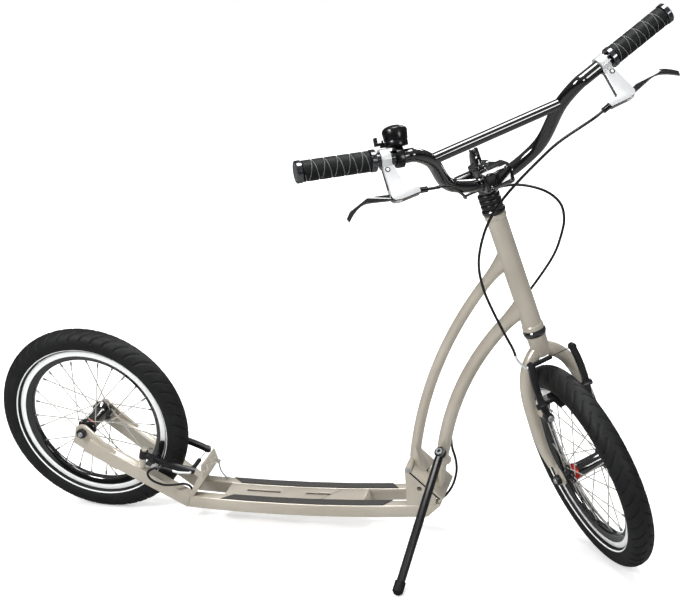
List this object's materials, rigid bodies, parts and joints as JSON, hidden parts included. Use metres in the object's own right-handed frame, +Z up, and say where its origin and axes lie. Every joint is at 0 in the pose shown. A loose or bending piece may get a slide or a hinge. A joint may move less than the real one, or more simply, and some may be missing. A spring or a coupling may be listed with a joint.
{
  "type": "kick bike",
  "caption": "Folding kick bike with spoked wheels, rim brakes, low deck between two tubes, twin curved column tubes, braced handlebar, bell and kickstand.",
  "frame": {"origin": "centre of the bounding box at ground level", "axes": "+X forward along the deck, +Y to the rider's left, +Z up; the scooter leans to its right on its kickstand"},
  "size_m": [1.3592, 0.5752, 1.0187],
  "materials": {
    "black_metal": "gloss black",
    "grip_tape": "rough",
    "paint": "metallic champagne, semi-gloss",
    "plastic": "satin",
    "rim_black": "black with bright brake tracks",
    "rubber": "matt",
    "silver": "polished",
    "tyre_rubber": "matt"
  },
  "bodies": {
    "deck": {"left_deck_tube": "paint", "right_deck_tube": "paint", "left_stay": "paint", "right_stay": "paint", "deck_plate": "paint", "left_grip_strip": "grip_tape", "right_grip_strip": "grip_tape", "rear_bridge_plate": "paint", "hinge_base": "paint", "hinge_pin": "silver", "rear_axle": "black_metal", "rear_brake_cable_lower": "rubber"},
    "wire_catch": {"wire_catch": "silver"},
    "rear_wheel": {"rear_tyre": "tyre_rubber", "rear_rim": "rim_black", "rear_hub_and_spokes": "silver"},
    "rear_left_arm": {"rear_left_brake_arm": "black_metal", "rear_left_brake_pad": "rubber"},
    "rear_right_arm": {"rear_right_brake_arm": "black_metal", "rear_right_brake_pad": "rubber", "rear_brake_noodle": "silver"},
    "column": {"hinge_plate": "paint", "rear_column_tube": "paint", "front_column_tube": "paint", "head_tube": "paint", "lower_headset_cup": "black_metal", "upper_headset_cup": "black_metal", "kickstand_bolt": "silver", "rear_brake_cable_middle": "rubber"},
    "latch": {"latch_lever": "silver"},
    "kickstand": {"kickstand_leg": "black_metal", "kickstand_foot": "rubber"},
    "steering": {"fork": "paint", "headset_spacers": "black_metal", "stem": "black_metal", "stem_faceplate": "black_metal", "handlebar": "black_metal", "left_grip": "rubber", "right_grip": "rubber", "left_grip_collars": "silver", "right_grip_collars": "silver", "left_lever_perch": "silver", "right_lever_perch": "silver", "bell_base": "plastic", "bell_dome": "plastic", "front_axle": "black_metal", "front_brake_cable": "rubber", "rear_brake_cable_upper": "rubber"},
    "front_wheel": {"front_tyre": "tyre_rubber", "front_rim": "rim_black", "front_hub_and_spokes": "silver"},
    "front_left_arm": {"front_left_brake_arm": "black_metal", "front_left_brake_pad": "rubber"},
    "front_right_arm": {"front_right_brake_arm": "black_metal", "front_right_brake_pad": "rubber", "front_brake_noodle": "silver"},
    "quick_lever": {"stem_quick_lever": "black_metal"},
    "left_brake_lever": {"left_brake_lever": "silver"},
    "right_brake_lever": {"right_brake_lever": "silver"},
    "bell_thumb_lever": {"bell_thumb_lever": "plastic"}
  },
  "joints": [
    {"name": "rear_wheel_spin", "type": "hinge", "parent": "deck", "child": "rear_wheel", "pos_m": [-0.47734, 0.14233, 0.20018], "axis": [0.0009, 0.9898, 0.1425], "continuous": true},
    {"name": "wire_catch_swing", "type": "hinge", "parent": "deck", "child": "wire_catch", "pos_m": [-0.23204, 0.18661, 0.10849], "axis": [-0.0009, -0.9898, -0.1425], "range_deg": [0, 90]},
    {"name": "column_fold", "type": "hinge", "parent": "deck", "child": "column", "pos_m": [0.19044, 0.14674, 0.16511], "axis": [-0.0009, -0.9898, -0.1425], "range_deg": [0, 78], "deforming": ["rear_brake_cable_lower"]},
    {"name": "latch_turn", "type": "hinge", "parent": "column", "child": "latch", "pos_m": [0.22817, 0.14997, 0.14242], "axis": [0.0009, 0.9898, 0.1425], "range_deg": [0, 15], "stiffness_Nm_per_rad": 0.2, "springref_deg": -17.19},
    {"name": "kickstand_fold", "type": "hinge", "parent": "column", "child": "kickstand", "pos_m": [0.25419, 0.10852, 0.19859], "axis": [0.1901, 0.6702, -0.7174], "range_deg": [0, 64]},
    {"name": "steer", "type": "hinge", "parent": "column", "child": "steering", "pos_m": [0.39687, 0.08764, 0.57446], "axis": [-0.2744, -0.1367, 0.9518], "range_deg": [0, 107.6], "deforming": ["rear_brake_cable_upper"]},
    {"name": "front_wheel_spin", "type": "hinge", "parent": "steering", "child": "front_wheel", "pos_m": [0.52663, 0.11472, 0.19279], "axis": [0.7765, 0.5523, 0.3032], "continuous": true},
    {"name": "quick_lever_open", "type": "hinge", "parent": "steering", "child": "quick_lever", "pos_m": [0.33877, 0.05869, 0.77596], "axis": [0.7765, 0.5523, 0.3032], "range_deg": [0, 90]},
    {"name": "left_lever_pull", "type": "hinge", "parent": "steering", "child": "left_brake_lever", "pos_m": [0.60444, 0.00517, 0.88631], "axis": [0.2014, -0.816, 0.5418], "range_deg": [0, 24], "stiffness_Nm_per_rad": 1, "springref_deg": -17.19},
    {"name": "right_lever_pull", "type": "hinge", "parent": "steering", "child": "right_brake_lever", "pos_m": [0.27799, -0.22703, 0.75884], "axis": [-0.4034, 0.6724, -0.6206], "range_deg": [0, 24], "stiffness_Nm_per_rad": 1, "springref_deg": -17.19},
    {"name": "bell_thumb_push", "type": "hinge", "parent": "steering", "child": "bell_thumb_lever", "pos_m": [0.24951, -0.18829, 0.83243], "axis": [0.2124, -0.2242, -0.9511], "range_deg": [0, 25], "stiffness_Nm_per_rad": 0.05, "springref_deg": -17.19},
    {"name": "front_left_arm_close", "type": "hinge", "parent": "steering", "child": "front_left_arm", "pos_m": [0.53036, 0.11137, 0.32786], "axis": [0.5672, -0.8223, 0.0454], "range_deg": [0, 3]},
    {"name": "front_right_arm_close", "type": "hinge", "parent": "steering", "child": "front_right_arm", "pos_m": [0.46513, 0.06498, 0.30239], "axis": [-0.5672, 0.8223, -0.0454], "range_deg": [0, 3], "deforming": ["front_brake_cable"]},
    {"name": "rear_left_arm_close", "type": "hinge", "parent": "deck", "child": "rear_left_arm", "pos_m": [-0.35787, 0.19057, 0.15904], "axis": [-0.2819, 0.1369, -0.9496], "range_deg": [0, 3]},
    {"name": "rear_right_arm_close", "type": "hinge", "parent": "deck", "child": "rear_right_arm", "pos_m": [-0.35795, 0.10743, 0.14707], "axis": [0.2819, -0.1369, 0.9496], "range_deg": [0, 3], "deforming": ["rear_brake_cable_lower"]}
  ],
  "couplings": [
    {"joint": "front_left_arm_close", "follows": "left_lever_pull", "ratio": 0.125},
    {"joint": "front_right_arm_close", "follows": "left_lever_pull", "ratio": 0.125},
    {"joint": "rear_left_arm_close", "follows": "right_lever_pull", "ratio": 0.125},
    {"joint": "rear_right_arm_close", "follows": "right_lever_pull", "ratio": 0.125}
  ]
}
